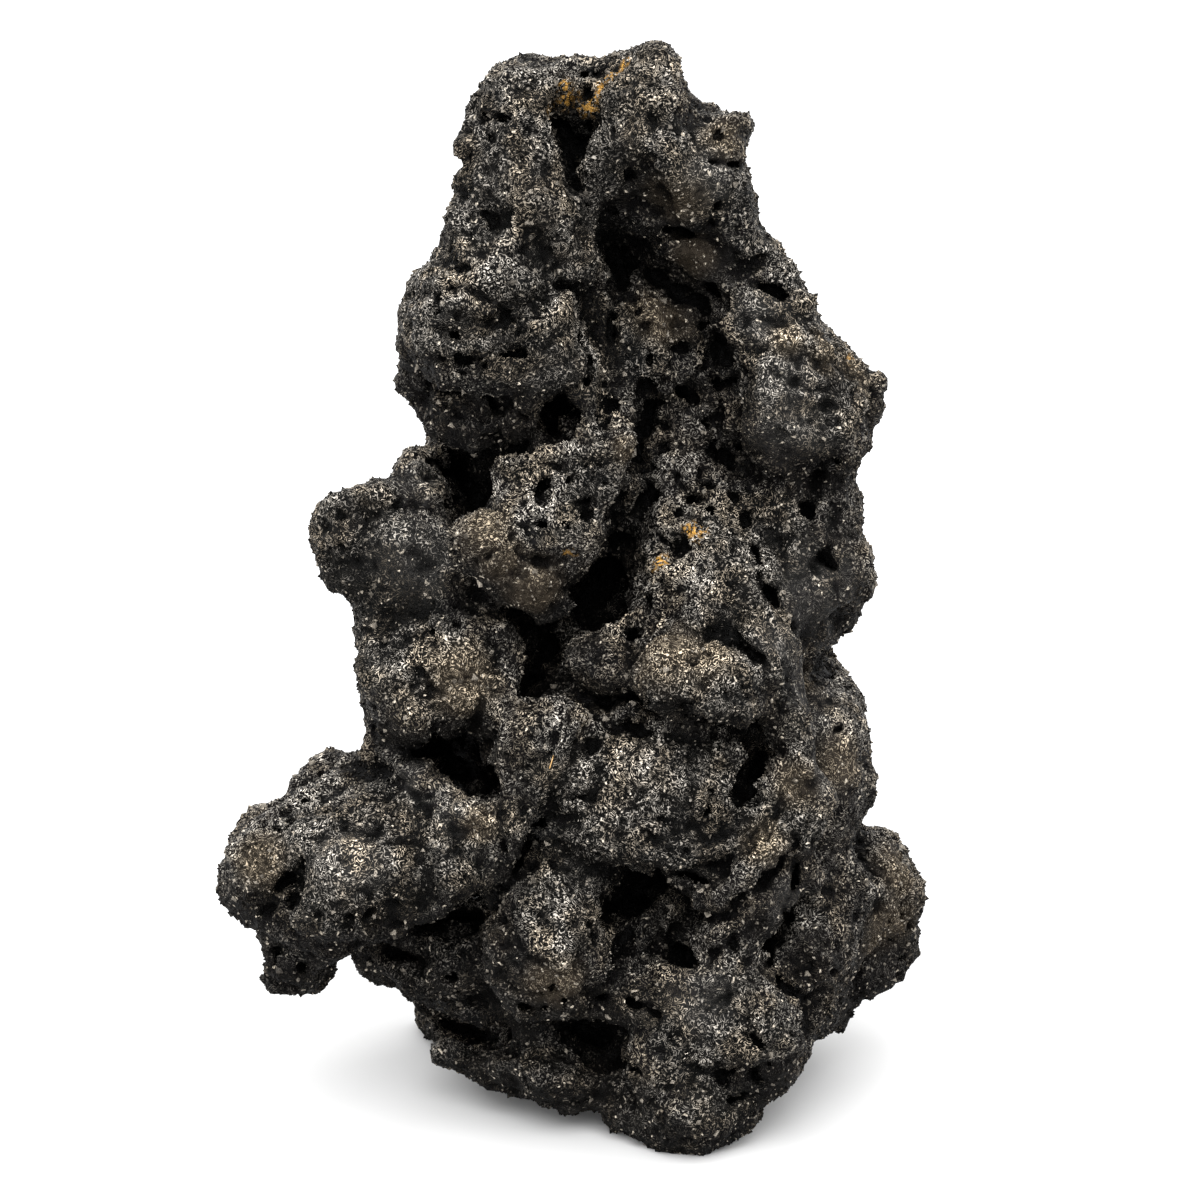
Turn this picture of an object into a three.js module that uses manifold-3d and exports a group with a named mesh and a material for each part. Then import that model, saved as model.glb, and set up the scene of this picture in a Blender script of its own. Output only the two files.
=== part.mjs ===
// A piece of black lava rock that stands on its own rough foot: basalt froth that froze as one stone, with lumps
// and ledges pushed out of it, and hollows where the gas got away.
// Millimetres, +Z up, +Y to the back. The origin is on the ground, under the middle of the stone's own box.
import * as THREE from "three";
import { ImprovedNoise } from "three/addons/math/ImprovedNoise.js";
import { mergeVertices } from "three/addons/utils/BufferGeometryUtils.js";
import Module from "manifold-3d";

// The forms below are placed as they are seen from the front, by an eye that looks down a little: across and up
// in the plane of the view, and back into the stone. These sizes carry that to the stone's own frame.
const LOOK_DOWN = THREE.MathUtils.degToRad(15);
const FRONT_FOOT_Y = -38;
const MIDDLE_X = -5;
const MIDDLE_Y = 0;

// The space that is sampled, the spacing of the samples, and the number of triangles that the surface is thinned to.
const LOW = [-80, -62, -8];
const HIGH = [74, 62, 208];
const GRID = 2.7;
const TRIANGLES = 9200;

// Two sizes of unevenness: how far they shift the surface, and their wavelength.
const SWELL = { shift: 3.2, wave: 24 };
const CRUMPLE = { shift: 1.5, wave: 9.5 };

// Two sizes of sharp crests with round hollows between them: how far they rise, and how wide they are.
const CRESTS = { height: 1.5, wave: 16 };
const WRINKLES = { height: 0.9, wave: 8 };

// How softly a lump grows out of the stone, and how softly a hollow's rim rounds off.
const GROWN = 5;
const RIM = 1.6;

// Lumps that the stone swells into: [across, up, back], [half width, half depth, half height], [turns in degrees].
// A square lump has flatter sides and fuller corners: 2 is an ellipsoid, 4 is nearly a block.
const LUMPS = [
  // the core, from the foot to the head
  { at: [6, 34, 2], half: [34, 30, 24] },
  { at: [6, 72, 2], half: [32, 30, 34] },
  { at: [4, 112, 4], half: [32, 22, 34] },
  { at: [4, 150, 4], half: [22, 18, 30] },
  // the head, with its flat top
  { at: [-3, 185, -2], half: [17, 15, 11.5], square: 5 },
  { at: [7.5, 187, -6], half: [9, 13, 12], square: 3 },
  { at: [21.5, 184, -3], half: [4.5, 4, 4] },
  { at: [16, 176, -5], half: [10, 13, 12], square: 3 },
  { at: [-14, 181, -9], half: [6.5, 9, 9], square: 3 },
  { at: [-11, 168, -15], half: [10, 9, 12], turn: [0, -20, 0] },
  { at: [-20, 170, -5], half: [4, 8, 7], square: 3 },
  { at: [-23, 161, -6], half: [4.5, 8, 4] },
  { at: [-18, 163, -13], half: [10, 11, 9] },
  { at: [22, 167, -2], half: [6.5, 10, 9] },
  { at: [4, 180, 10], half: [17, 9, 15] },
  // the upper left lobe and its lip
  { at: [-20.5, 150, -13], half: [16.5, 17, 11], square: 2.8 },
  { at: [-13, 143, -20], half: [12, 8, 5] },
  { at: [-19, 133, -9], half: [10.5, 12, 5.5] },
  { at: [-32, 140, -5], half: [4.8, 8, 4.2] },
  // the block and the tan lumps beside the cleft
  { at: [-8, 118, -17], half: [13, 12, 13], square: 3.4 },
  { at: [3, 129, -20], half: [3, 4, 3] },
  { at: [-20, 112, -27], half: [7, 7, 6] },
  { at: [-13, 104, -25], half: [8, 8, 7] },
  // the left arm and the waist below it
  { at: [-37, 114, -8], half: [14, 12, 8], turn: [0, 4, 0] },
  { at: [-47.5, 113, -8], half: [5, 7, 5] },
  { at: [-44, 106, -8], half: [5, 10, 6] },
  { at: [-31, 125.5, -3], half: [6.5, 8, 3.8] },
  { at: [-32, 101, -9], half: [13.5, 14, 13], square: 2.6 },
  { at: [-29, 87, -14], half: [16, 16, 12], square: 2.6 },
  { at: [-33, 76, -10], half: [10, 12, 8] },
  // the lower left ledge, its dome and the knob that hangs from it
  { at: [-44, 56, -16], half: [23, 19, 12] },
  { at: [-59, 51, -13], half: [11, 12, 10] },
  { at: [-57, 63, -8], half: [8, 9, 6.5] },
  { at: [-43, 51, -30], half: [12, 9, 8.5] },
  { at: [-27, 55, -28], half: [12, 10, 9] },
  { at: [-47, 44, -20], half: [17, 12, 7] },
  { at: [-56.5, 35, -17], half: [6.5, 6.5, 7], square: 3 },
  { at: [-48, 69, -4], half: [7, 8, 4.5] },
  // the strip beside the front face, and the lump in the hollow behind the ledge
  { at: [-12, 76, -30], half: [6, 7, 9], turn: [0, 14, 0] },
  { at: [-24, 77, -19], half: [5, 5, 4] },
  // the front face and its brow
  { at: [12, 66, -20], half: [22, 18, 15], square: 2.6 },
  { at: [18, 87, -32], half: [13, 10, 6], turn: [0, 8, 0], square: 2.6 },
  { at: [18, 101, -16], half: [13, 14, 13] },
  { at: [1, 90, -24], half: [6, 7, 4.5] },
  { at: [27, 95, -18], half: [9, 12, 13] },
  { at: [37.5, 73, 2], half: [11, 24, 16], square: 3.4 },
  { at: [-10, 42, -26], half: [12, 12, 12], square: 2.6 },
  { at: [-8, 31, -30], half: [7, 7, 5] },
  { at: [-27, 38, -10], half: [14, 14, 8] },
  { at: [-29, 31, 4], half: [8.5, 14, 8] },
  { at: [-38, 37, -6], half: [8, 12, 6] },
  // the feet and what stands on them
  { at: [-27, 21, 27], half: [8, 9, 7], square: 3 },
  { at: [-14, 24, 4], half: [19, 26, 12] },
  { at: [19, 25, -23], half: [17, 16, 15], square: 2.6 },
  { at: [15, 8, -31], half: [9, 9, 9] },
  { at: [21, 10, -25], half: [6.5, 8, 6] },
  { at: [6, 9, -24], half: [4, 5, 5.5] },
  { at: [-8, 13, -21], half: [8, 8, 5] },
  { at: [29, 26, -8], half: [10, 18, 12] },
  { at: [38, 42, -6], half: [12, 18, 18] },
  { at: [41, 26, 4], half: [6.5, 12, 6] },
  { at: [49, 47, 6], half: [9.5, 13, 12.5], square: 2.8 },
  { at: [52, 36, 8], half: [7, 9, 7.5], square: 2.6 },
  { at: [26, 19, 20], half: [10, 11, 9], square: 3 },
  // the right shoulder and the column under it
  { at: [33, 147, 1], half: [8, 16, 19], turn: [0, -38, 0], square: 3.4 },
  { at: [39, 134, 0], half: [11, 17, 9], square: 3.4 },
  { at: [37, 112, 2], half: [12, 18, 15], square: 3 },
  { at: [35, 96, 0], half: [8, 16, 6] },
  { at: [30, 138, -8], half: [8, 13, 13] },
  // the back
  { at: [0, 158, 15], half: [18, 11, 20], turn: [0, 18, 0] },
  { at: [22, 132, 17], half: [14, 12, 20], turn: [0, -24, 0], square: 2.6 },
  { at: [-20, 124, 14], half: [14, 13, 17], turn: [0, 20, 0], square: 2.6 },
  { at: [2, 104, 22], half: [15, 9, 22], turn: [0, -12, 0] },
  { at: [-25, 84, 12], half: [14, 16, 20], square: 2.6 },
  { at: [26, 80, 20], half: [15, 14, 24], turn: [0, 10, 0], square: 2.6 },
  { at: [-2, 62, 27], half: [18, 12, 22], turn: [0, 24, 0] },
  { at: [30, 48, 24], half: [15, 12, 16], turn: [0, -30, 0] },
  { at: [-20, 40, 20], half: [13, 14, 14] },
  { at: [6, 28, 22], half: [18, 14, 11], square: 2.6 },
];

// Ribs: narrow ridges from one point to another, each with its radius.
const RIBS = [
  { from: [29, 97, -24], to: [36, 63, -27], radius: 5 },
  { from: [38, 63, -28], to: [20, 50, -33], radius: 5.5 },
  { from: [35, 50, -28], to: [20, 39, -33], radius: 5 },
  { from: [-8, 79, -28], to: [-18, 56, -30], radius: 5 },
  { from: [-33, 68, -22], to: [-20, 62, -33], radius: 3.2 },
  { from: [-6, 140, -22], to: [2, 114, -22], radius: 4.5 },
];

// Hollows, given as the lumps are.
const HOLLOWS = [
  { at: [-5, 187, -18], half: [3.4, 12, 5] },
  { at: [-2, 197, -8], half: [5, 9, 2.8] },
  { at: [-4, 177, -18], half: [2.4, 8, 4.5], turn: [0, -25, 0] },
  { at: [5, 162, -16], half: [5, 14, 4.6] },
  { at: [20, 149, -20], half: [2.4, 8, 2.6] },
  { at: [-2, 101, -18], half: [6.5, 18, 6] },
  { at: [-11, 89, -24], half: [4, 14, 7], turn: [0, 20, 0] },
  { at: [-23, 124, -14], half: [4.5, 14, 5] },
  { at: [-8, 134, -22], half: [2.8, 9, 3] },
  { at: [-24, 70, -26], half: [8.5, 15, 4.2], turn: [0, 25, 0] },
  { at: [6, 47, -34], half: [5.5, 16, 6.5], turn: [0, 40, 0] },
  { at: [15, 36, -38], half: [3.2, 9, 3.2] },
  { at: [27, 71, -36], half: [3.4, 10, 5.5], turn: [0, 25, 0] },
  { at: [-1, 21, -30], half: [8, 11, 3.4] },
  { at: [42, 121, -15], half: [2.6, 8, 3.2] },
  { at: [41, 108, -15], half: [2.4, 7, 3.2] },
  { at: [15, 79, -40], half: [8, 7, 4] },
  { at: [-25, 24, -6], half: [10, 13, 3.6] },
  { at: [-19, 171, -14], half: [2.6, 5, 2.8] },
  { at: [-56, 50, -31], half: [2.6, 5, 6.5], turn: [0, 20, 0] },
  { at: [14, 132, -24], half: [7, 7, 16] },
  { at: [34, 34, -32], half: [3, 6, 5], turn: [0, -30, 0] },
  // at the back
  { at: [2, 132, 32], half: [6, 10, 7] },
  { at: [-6, 94, 36], half: [6, 12, 5] },
  { at: [14, 70, 40], half: [7, 12, 5] },
  { at: [-38, 88, 16], half: [6, 9, 5] },
  { at: [22, 40, 42], half: [5, 10, 4] },
];

// Clefts: hollows drawn from one point to another, each with its radius.
const CLEFTS = [
  { from: [9, 129, -24], to: [4, 112, -24], radius: 3.8 },
  { from: [4, 112, -24], to: [-2, 100, -24], radius: 4.5 },
  { from: [10, 161, -24], to: [20, 151, -22], radius: 2.6 },
  { from: [-9, 94, -32], to: [-15, 80, -34], radius: 2.8 },
  { from: [-10, 64, -42], to: [-17, 50, -42], radius: 2.6 },
  { from: [27, 110, -28], to: [32, 100, -26], radius: 2.4 },
  { from: [32, 100, -26], to: [39, 92, -20], radius: 2.4 },
  { from: [-31, 129, -12], to: [-12, 131, -26], radius: 2.6 },
  { from: [-46, 37, -30], to: [-20, 46, -38], radius: 2.6 },
  { from: [41, 90, -20], to: [44, 79, -22], radius: 1.6 },
  { from: [-2, 53, -40], to: [20, 51, -42], radius: 2.2 },
  { from: [-12, 160, 27], to: [6, 122, 32], radius: 3 },
  { from: [10, 112, 36], to: [36, 74, 34], radius: 3 },
  { from: [-36, 108, 12], to: [-16, 56, 36], radius: 3 },
];

// From across, up and back in the view to a point of the stone's own frame.
function seen([across, up, back]) {
  const raised = up + FRONT_FOOT_Y * Math.sin(LOOK_DOWN) - back * Math.sin(LOOK_DOWN);
  return new THREE.Vector3(across - MIDDLE_X, back - MIDDLE_Y, raised / Math.cos(LOOK_DOWN));
}

// The signed distance to a lump, near enough close to its surface.
function lump({ at, half, turn = [0, 0, 0], square = 2 }) {
  const turned = new THREE.Euler(...turn.map(THREE.MathUtils.degToRad));
  const toLocal = new THREE.Matrix4()
    .makeRotationFromEuler(turned)
    .setPosition(seen(at))
    .invert();
  const local = new THREE.Vector3();
  return (point) => {
    const shares = local
      .copy(point)
      .applyMatrix4(toLocal)
      .toArray()
      .map((size, axis) => Math.abs(size) / half[axis]);
    const reach = shares.reduce((sum, share) => sum + share ** square, 0) ** (1 / square);
    const slope = Math.hypot(...shares.map((share, axis) => share ** (square - 1) / half[axis]));
    return slope > 1e-9 ? ((reach - 1) * reach ** (square - 1)) / slope : -Math.min(...half);
  };
}

// The signed distance to a round-ended rod.
function rod({ from, to, radius }) {
  const line = new THREE.Line3(seen(from), seen(to));
  const nearest = new THREE.Vector3();
  return (point) => line.closestPointToPoint(point, true, nearest).distanceTo(point) - radius;
}

function softMin(a, b, width) {
  const overlap = Math.max(width - Math.abs(a - b), 0) / width;
  return Math.min(a, b) - (overlap * overlap * width) / 4;
}

// Shifts a point by three noises, so that no lump keeps its even curve.
const perlin = new ImprovedNoise();
function unevenly(point, shifted) {
  shifted.copy(point);
  for (const { shift, wave } of [SWELL, CRUMPLE]) {
    const [x, y, z] = point.toArray().map((size) => size / wave);
    shifted.x += shift * perlin.noise(x + 11.3, y, z);
    shifted.y += shift * perlin.noise(x, y + 27.1, z);
    shifted.z += shift * perlin.noise(x, y, z + 43.7);
  }
  return shifted;
}

// How far the surface stands out at a point: highest where the noise changes sign, which draws the crests.
function craggy(point) {
  return [CRESTS, WRINKLES].reduce((sum, { height, wave }) => {
    const [x, y, z] = point.toArray().map((size) => size / wave);
    return sum + height * (0.6 - 3.2 * Math.abs(perlin.noise(x, y, z + 7.9)));
  }, 0);
}

// Below zero inside the stone, above zero outside it.
function makeField() {
  const grown = [...LUMPS.map(lump), ...RIBS.map(rod)];
  const hollow = [...HOLLOWS.map(lump), ...CLEFTS.map(rod)];
  const shifted = new THREE.Vector3();
  return (point) => {
    unevenly(point, shifted);
    const solid = grown.reduce((depth, form) => softMin(depth, form(shifted), GROWN), 1e3);
    const carved = hollow.reduce((depth, form) => -softMin(-depth, form(shifted), RIM), solid);
    return carved - craggy(point);
  };
}

// The surface where the field is zero: each cell of the grid is split into six tetrahedra round its diagonal.
function polygonise(field) {
  const count = LOW.map((low, axis) => Math.ceil((HIGH[axis] - low) / GRID) + 1);
  const [nx, ny, nz] = count;
  const place = (n, out) => out.set(n % nx, Math.floor(n / nx) % ny, Math.floor(n / nx / ny)).multiplyScalar(GRID);
  const low = new THREE.Vector3(...LOW);
  const values = new Float64Array(nx * ny * nz);
  const [a, b] = [new THREE.Vector3(), new THREE.Vector3()];
  for (let n = 0; n < values.length; n++) {
    values[n] = field(place(n, a).add(low)) || 1e-6;
  }

  // The point where the surface crosses the edge between two samples, shared by all the faces that meet there.
  const points = [];
  const made = new Map();
  const crossing = (m, n) => {
    const key = Math.min(m, n) * values.length + Math.max(m, n);
    if (!made.has(key)) {
      made.set(key, points.length);
      const share = THREE.MathUtils.clamp(values[m] / (values[m] - values[n]), 0.08, 0.92);
      points.push(place(m, a).lerp(place(n, b), share).add(low).clone());
    }
    return made.get(key);
  };

  const faces = [];
  const inward = new THREE.Vector3();
  const cut = (corners) => {
    const inside = corners.filter((n) => values[n] < 0);
    const outside = corners.filter((n) => values[n] >= 0);
    if (!inside.length || !outside.length) return;
    const ring =
      inside.length === 2
        ? [[0, 0], [0, 1], [1, 1], [1, 0]].map(([i, o]) => crossing(inside[i], outside[o]))
        : inside.flatMap((i) => outside.map((o) => crossing(i, o)));
    inward.set(0, 0, 0);
    for (const n of inside) inward.addScaledVector(place(n, a), 1 / inside.length);
    for (const n of outside) inward.addScaledVector(place(n, a), -1 / outside.length);
    for (let i = 2; i < ring.length; i++) {
      const [p, q, r] = [ring[0], ring[i - 1], ring[i]];
      const facing = a.subVectors(points[q], points[p]).cross(b.subVectors(points[r], points[p]));
      faces.push(facing.dot(inward) < 0 ? [p, q, r] : [p, r, q]);
    }
  };

  const steps = [1, nx, nx * ny];
  const orders = [[0, 1, 2], [1, 2, 0], [2, 0, 1], [0, 2, 1], [2, 1, 0], [1, 0, 2]];
  for (let k = 0; k < nz - 1; k++) {
    for (let j = 0; j < ny - 1; j++) {
      for (let i = 0; i < nx - 1; i++) {
        for (const order of orders) {
          const corners = [i * steps[0] + j * steps[1] + k * steps[2]];
          for (const axis of order) corners.push(corners.at(-1) + steps[axis]);
          cut(corners);
        }
      }
    }
  }
  return { points, faces };
}

// A queue that gives back the cheapest item first.
class Cheapest {
  items = [];

  swap(i, j) {
    [this.items[i], this.items[j]] = [this.items[j], this.items[i]];
  }

  push(item) {
    let i = this.items.push(item) - 1;
    while (i > 0 && this.items[(i - 1) >> 1].cost > item.cost) {
      this.swap(i, (i - 1) >> 1);
      i = (i - 1) >> 1;
    }
  }

  pop() {
    this.swap(0, this.items.length - 1);
    const cheapest = this.items.pop();
    let i = 0;
    for (;;) {
      const below = [2 * i + 1, 2 * i + 2].filter((child) => child < this.items.length);
      const least = below.reduce((best, child) => (this.items[child].cost < this.items[best].cost ? child : best), i);
      if (least === i) return cheapest;
      this.swap(i, least);
      i = least;
    }
  }
}

// The error of a point is its distance, squared, to the planes of the faces that it stands for. The ten numbers
// are the upper half of a symmetric matrix of 4 by 4.
function addPlane(quadric, normal, offset, weight) {
  const plane = [...normal.toArray(), offset];
  let n = 0;
  for (let i = 0; i < 4; i++) {
    for (let j = i; j < 4; j++) quadric[n++] += weight * plane[i] * plane[j];
  }
}

function errorAt(q, { x, y, z }) {
  const squares = q[0] * x * x + q[4] * y * y + q[7] * z * z + q[9];
  return squares + 2 * (q[1] * x * y + q[2] * x * z + q[5] * y * z + q[3] * x + q[6] * y + q[8] * z);
}

function leastError(q, middle, longest) {
  const matrix = new THREE.Matrix3(q[0], q[1], q[2], q[1], q[4], q[5], q[2], q[5], q[7]);
  if (Math.abs(matrix.determinant()) < 1e-3) return middle;
  const best = new THREE.Vector3(-q[3], -q[6], -q[8]).applyMatrix3(matrix.invert());
  return best.distanceTo(middle) < longest ? best : middle;
}

// Thins the surface by drawing edges together, the ones that change its shape least first.
function thin({ points, faces }, wanted) {
  const around = points.map(() => new Set());
  const quadrics = points.map(() => new Float64Array(10));
  const across = ([p, q, r]) => new THREE.Vector3().subVectors(q, p).cross(r.clone().sub(p));
  faces.forEach((face, f) => {
    const normal = across(face.map((v) => points[v]));
    const area = normal.length();
    normal.normalize();
    for (const v of face) {
      around[v].add(f);
      addPlane(quadrics[v], normal, -normal.dot(points[face[0]]), area);
    }
  });

  const neighbours = (v) => {
    const found = new Set([...around[v]].flatMap((f) => faces[f]));
    found.delete(v);
    return found;
  };
  // A move is refused where it would turn a face over or make it a sliver.
  const spoils = (v, other, at) =>
    [...around[v]].some((f) => {
      if (faces[f].includes(other)) return false;
      const corners = faces[f].map((w) => (w === v ? at : points[w]));
      const before = across(faces[f].map((w) => points[w]));
      const after = across(corners);
      const longest = Math.max(...corners.map((p, i) => p.distanceTo(corners[(i + 1) % 3])));
      return before.dot(after) < 0.2 * before.length() * after.length() || after.length() < 0.08 * longest ** 2;
    });

  const queue = new Cheapest();
  const age = new Int32Array(points.length);
  const offer = (u, v) => {
    const quadric = quadrics[u].map((value, i) => value + quadrics[v][i]);
    const middle = points[u].clone().lerp(points[v], 0.5);
    const length = points[u].distanceTo(points[v]);
    const best = leastError(quadric, middle, length);
    const cost = Math.max(errorAt(quadric, best), 0) + 1e-4 * length ** 2;
    queue.push({ u, v, quadric, spots: [best, middle], ages: [age[u], age[v]], cost });
  };
  for (const face of faces) {
    face.forEach((u, i) => u < face[(i + 1) % 3] && offer(u, face[(i + 1) % 3]));
  }

  let left = faces.length;
  while (left > wanted && queue.items.length) {
    const { u, v, quadric, spots, ages } = queue.pop();
    if (ages[0] !== age[u] || ages[1] !== age[v]) continue;
    const beside = neighbours(v);
    const shared = [...neighbours(u)].filter((w) => beside.has(w));
    const spot = spots.find((at) => !spoils(u, v, at) && !spoils(v, u, at));
    if (shared.length !== 2 || !spot) continue;
    for (const f of around[v]) {
      if (faces[f].includes(u)) {
        faces[f].forEach((w) => around[w].delete(f));
        faces[f] = null;
        left--;
      } else {
        faces[f] = faces[f].map((w) => (w === v ? u : w));
        around[u].add(f);
      }
    }
    points[u] = spot;
    quadrics[u] = quadric;
    age[u]++;
    age[v] = -1;
    for (const w of neighbours(u)) offer(u, w);
  }
  return { points, faces: faces.filter(Boolean) };
}

const wasm = await Module();
wasm.setup();

// A closed geometry as a solid, with its shared corners merged.
function toSolid(geometry) {
  const plain = mergeVertices(new THREE.BufferGeometry().copy(geometry).deleteAttribute("normal").deleteAttribute("uv"));
  const vertProperties = Float32Array.from(plain.getAttribute("position").array);
  return new wasm.Manifold(new wasm.Mesh({ numProp: 3, vertProperties, triVerts: Uint32Array.from(plain.index.array) }));
}

function toGeometry(solid) {
  const { vertProperties, triVerts } = solid.getMesh();
  const geometry = new THREE.BufferGeometry();
  geometry.setAttribute("position", new THREE.BufferAttribute(vertProperties, 3));
  geometry.setIndex(new THREE.BufferAttribute(triVerts, 1));
  return geometry;
}

// The stone, cut off flat below the ground, which leaves the feet that it rests on, and set over the origin.
function makeStone() {
  const { points, faces } = thin(polygonise(makeField()), TRIANGLES);
  const surface = new THREE.BufferGeometry().setFromPoints(points).setIndex(faces.flat());
  const depth = 40;
  const ground = new THREE.BoxGeometry(400, 400, depth).translate(0, 0, -depth / 2);
  const stone = toGeometry(toSolid(surface).subtract(toSolid(ground)));
  stone.computeBoundingBox();
  const middle = stone.boundingBox.getCenter(new THREE.Vector3());
  stone.translate(-middle.x, -middle.y, 0);
  stone.computeVertexNormals();
  return stone;
}

const basalt = new THREE.MeshStandardMaterial({ color: 0x2c2b2a, roughness: 0.7, metalness: 0, flatShading: true });
const stone = new THREE.Mesh(makeStone(), basalt);
stone.name = "lava_rock";

const part = new THREE.Group();
part.add(stone);
export default part;
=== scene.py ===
# A piece of black lava rock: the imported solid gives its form, and this script gives it a porous, grainy skin.
import math

import bpy
import numpy as np
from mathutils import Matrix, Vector
from mathutils.bvhtree import BVHTree


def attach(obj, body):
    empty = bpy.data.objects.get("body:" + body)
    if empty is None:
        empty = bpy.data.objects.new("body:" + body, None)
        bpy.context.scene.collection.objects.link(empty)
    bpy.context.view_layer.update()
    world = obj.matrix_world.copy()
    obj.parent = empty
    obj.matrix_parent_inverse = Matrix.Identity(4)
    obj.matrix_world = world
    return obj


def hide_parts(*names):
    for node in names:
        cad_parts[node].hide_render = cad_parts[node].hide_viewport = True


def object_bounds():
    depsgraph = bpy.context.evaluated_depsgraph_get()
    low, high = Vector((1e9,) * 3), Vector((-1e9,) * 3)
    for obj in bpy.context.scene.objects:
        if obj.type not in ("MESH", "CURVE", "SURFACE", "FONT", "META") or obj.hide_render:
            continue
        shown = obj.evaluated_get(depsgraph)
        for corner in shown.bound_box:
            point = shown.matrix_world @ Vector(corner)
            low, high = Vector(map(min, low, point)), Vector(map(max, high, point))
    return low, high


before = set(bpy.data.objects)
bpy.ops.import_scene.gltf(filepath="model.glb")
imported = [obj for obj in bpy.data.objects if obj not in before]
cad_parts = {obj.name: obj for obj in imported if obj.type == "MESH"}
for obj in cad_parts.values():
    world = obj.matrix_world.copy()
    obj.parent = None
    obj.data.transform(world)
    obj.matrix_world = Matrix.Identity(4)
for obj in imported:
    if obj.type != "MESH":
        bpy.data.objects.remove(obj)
cad_box = [list(corner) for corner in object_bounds()]

# Sizes and places are in millimetres, in the stone's own frame, unless their comment says otherwise.
MM = 0.001

# The camera stands as far off as gives each of the photograph's 1200 pixels this much of the stone. The foot
# nearest to it meets the ground so far above the picture's lower edge. The picture's middle is at this x.
LOOK_DOWN = math.radians(15)
LENS = 135
SENSOR = 36
PIXEL = 0.1825
PICTURE = 1200 * PIXEL
NEAR_FOOT_UP = 44 * PIXEL
NEAR_FOOT_Y = -38
VIEW_X = 4.4
FARTHEST_SEEN = 20000

# The studio: how far the floor reaches from the stone, how pale it is, how strong the lights are, what angle
# the key light fills, in radians, and which way it shines.
FLOOR_REACH = 9000
FLOOR_SHADE = 0.48
ROOM_LIGHT = 2.4
KEY_LIGHT = 3.8
KEY_WIDTH = 0.9
KEY_TOWARDS = (0.05, 0.58, -0.81)

# The skin is worked out on a grid of samples, with a margin round the stone. The depth within SHALLOW of the
# solid's surface comes from a fine blur, the rest from a wide one. Only the samples in BAND are roughened.
STEP = 0.8
MARGIN = 7
FINE_BLUR = 1.1
WIDE_BLUR = 3.5
SHALLOW = 2.4
BAND = (-9.0, 4.0)
SKIN_TRIANGLES = 194000

# The crust: pieces of many small grains, with eight triangles to a grain. Most grains are near the smallest
# radius. Each has axes and tips of uneven length, and this share of its radius is sunk in the skin.
CRUST_PIECES = 4
GRAINS_PER_PIECE = 24000
GRAIN_RADIUS = (0.28, 0.80)
MOSTLY_SMALL = 2.5
GRAIN_AXES = (0.7, 1.35)
GRAIN_TIPS = (0.8, 1.2)
SUNK = 0.35

# Sharp crests with hollow faces between them, from broad to fine: the width of the wave and the height.
CRESTS = [(12.0, 0.6), (5.0, 0.35), (2.7, 0.55), (1.8, 0.40)]

# How hollow a place is, from the share of solid around it: within what reach, and how strongly it counts. The
# material blackens hollow places by it, as painted shade.
HOLLOWNESS = {"valley": (9.0, 2.2), "hollow": (4.5, 2.8), "crease": (1.5, 4.0)}

# Pits: the size of the cells that each may hold one, their radii, and how many of the cells do. Away from the
# porous patches they come in clusters, this far apart, where they are only partly as large.
PITS = [(4.4, (1.1, 1.9), 0.7), (3.0, (0.8, 1.3), 0.9)]
DEEPEST_PIT = 3.2
PIT_CLUSTERS = 26
IN_CLUSTERS = 0.4

# The ridges and clefts are strokes over the surface. How far noise bends them, at a broad and at a fine wave,
# how far apart their points are, and how far past their width they can reach.
BEND = [(8.0, 1.8), (3.0, 0.8)]
SPACING = 2.5
STROKE_REACH = 3

# How uneven the edges of the clefts are, at two waves. A cleft of more than this half width lies in a valley,
# which is so many times as wide and as deep as the cleft. Both are cut a little tighter than they are drawn.
EDGES = [(3.4, 1.1), (1.7, 0.5)]
NARROW = 1.45
VALLEY = (2.0, 0.34)
VALLEY_TIGHTER = 0.5
CLEFT_TIGHTER = 0.3

# How deep a ridge's middle is sunk, for its half width. How softly each kind of form runs into the stone. By
# what share a smooth patch has lower waves and smaller grains.
RIDGE_SUNK = 0.8
SOFT_RIDGE = 1.8
SOFT_PIT = 0.4
SOFT_VALLEY = 2.0
SOFT_CLEFT = 0.6
CALMED = 0.6
FINE_GRAINED = 0.5

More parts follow.
